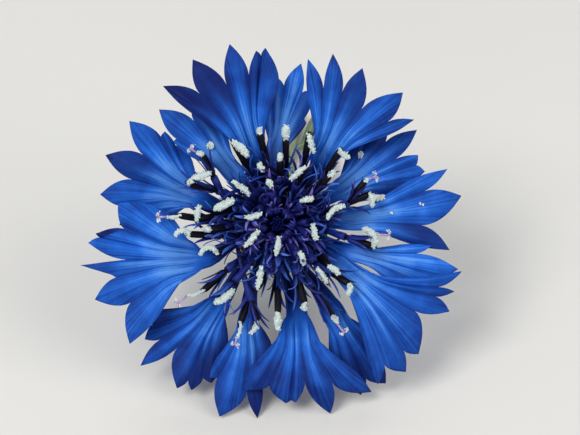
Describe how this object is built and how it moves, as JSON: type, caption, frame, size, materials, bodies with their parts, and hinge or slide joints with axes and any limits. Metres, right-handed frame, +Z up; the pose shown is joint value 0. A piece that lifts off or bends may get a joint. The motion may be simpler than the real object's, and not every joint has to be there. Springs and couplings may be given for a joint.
{
  "type": "cornflower",
  "caption": "Single blue cornflower, picked with a short stem and laid on its side: lobed ray florets round a dark disc with pollen-tipped anther tubes.",
  "frame": {"origin": "the middle of the bounding box's underside, on the surface that the flower lies on", "axes": "+Z up from the surface; +Y along the lying stem from the flower head to the cut end, so the flower's face looks towards -Y and up; +X to the right when looking along +Y"},
  "size_m": [0.046, 0.0648, 0.0361],
  "materials": {
    "ray_petal": "satin",
    "disc_floret": "satin",
    "closed_floret": "satin",
    "bract": "matte",
    "receptacle": "matte",
    "stem": "matte",
    "leaf": "matte"
  },
  "bodies": {
    "root": {"ray_floret_01": "ray_petal", "ray_floret_02": "ray_petal", "ray_floret_03": "ray_petal", "ray_floret_04": "ray_petal", "ray_floret_05": "ray_petal", "ray_floret_06": "ray_petal", "ray_floret_07": "ray_petal", "ray_floret_08": "ray_petal", "ray_floret_09": "ray_petal", "ray_floret_10": "ray_petal", "ray_floret_11": "ray_petal", "ray_floret_12": "ray_petal", "ray_floret_13": "ray_petal", "ray_floret_14": "ray_petal", "disc_floret_01": "disc_floret", "disc_floret_02": "disc_floret", "disc_floret_03": "disc_floret", "disc_floret_04": "disc_floret", "disc_floret_05": "disc_floret", "disc_floret_06": "disc_floret", "disc_floret_07": "disc_floret", "disc_floret_08": "disc_floret", "disc_floret_09": "disc_floret", "disc_floret_10": "disc_floret", "disc_floret_11": "disc_floret", "disc_floret_12": "disc_floret", "disc_floret_13": "disc_floret", "disc_floret_14": "disc_floret", "disc_floret_15": "disc_floret", "disc_floret_16": "disc_floret", "disc_floret_17": "disc_floret", "disc_floret_18": "disc_floret", "disc_floret_19": "disc_floret", "disc_floret_20": "disc_floret", "disc_floret_21": "disc_floret", "disc_floret_22": "disc_floret", "disc_floret_23": "disc_floret", "disc_floret_24": "disc_floret", "disc_floret_25": "disc_floret", "disc_floret_26": "disc_floret", "disc_floret_27": "disc_floret", "disc_floret_28": "disc_floret", "disc_floret_29": "disc_floret", "disc_floret_30": "disc_floret", "disc_floret_31": "disc_floret", "disc_floret_32": "disc_floret", "disc_floret_33": "disc_floret", "disc_floret_34": "disc_floret", "disc_floret_35": "disc_floret", "disc_floret_36": "disc_floret", "closed_florets": "closed_floret", "phyllary_row_1": "bract", "phyllary_row_2": "bract", "phyllary_row_3": "bract", "phyllary_row_4": "bract", "receptacle": "receptacle", "stem": "stem", "stem_leaf_1": "leaf", "stem_leaf_2": "leaf", "stem_leaf_3": "leaf"}
  },
  "joints": []
}
